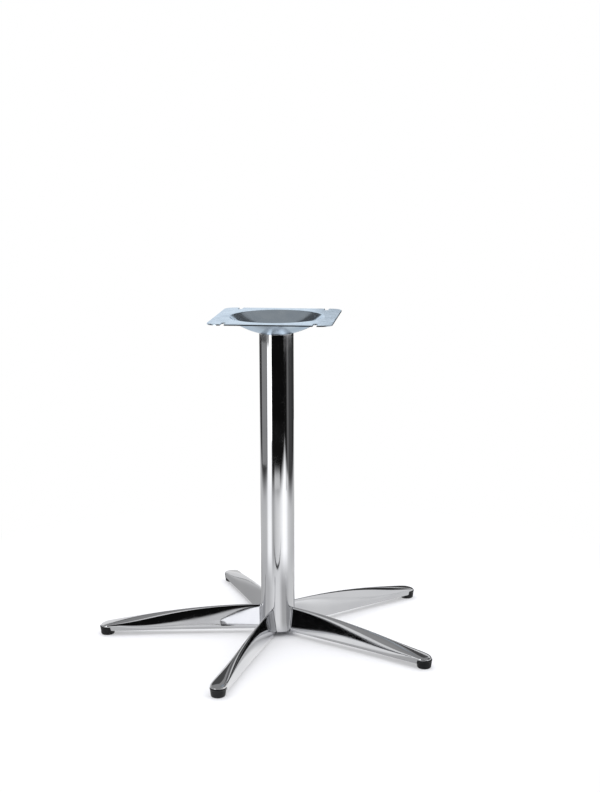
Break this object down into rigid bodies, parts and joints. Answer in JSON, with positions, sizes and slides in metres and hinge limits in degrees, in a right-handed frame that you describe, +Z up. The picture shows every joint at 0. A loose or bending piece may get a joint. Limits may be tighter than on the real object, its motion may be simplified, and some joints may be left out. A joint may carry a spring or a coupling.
{
  "type": "five-star table base",
  "caption": "Chromed table pedestal: round column on pressed star legs with plastic glides, and a square dished plate with open slots to screw a top on.",
  "frame": {"origin": "on the floor, on the column's axis", "axes": "+Z up along the column; the first leg points along -Y"},
  "size_m": [0.7688, 0.7329, 0.725],
  "materials": {
    "chrome": "bright polished chrome plate on steel",
    "zinc_plate": "bluish zinc plate on pressed steel, satin",
    "zinc_fastener": "zinc plated steel, semi-bright",
    "plain_steel": "plain steel",
    "foot_plastic": "black moulded plastic, fine texture"
  },
  "bodies": {
    "root": {"centre_bolt": "zinc_fastener", "column_top_disc": "plain_steel", "column_tube": "chrome", "feet": "foot_plastic", "flat_washer": "zinc_fastener", "legs": "chrome", "spring_washer": "zinc_fastener", "top_plate": "zinc_plate"}
  },
  "joints": []
}
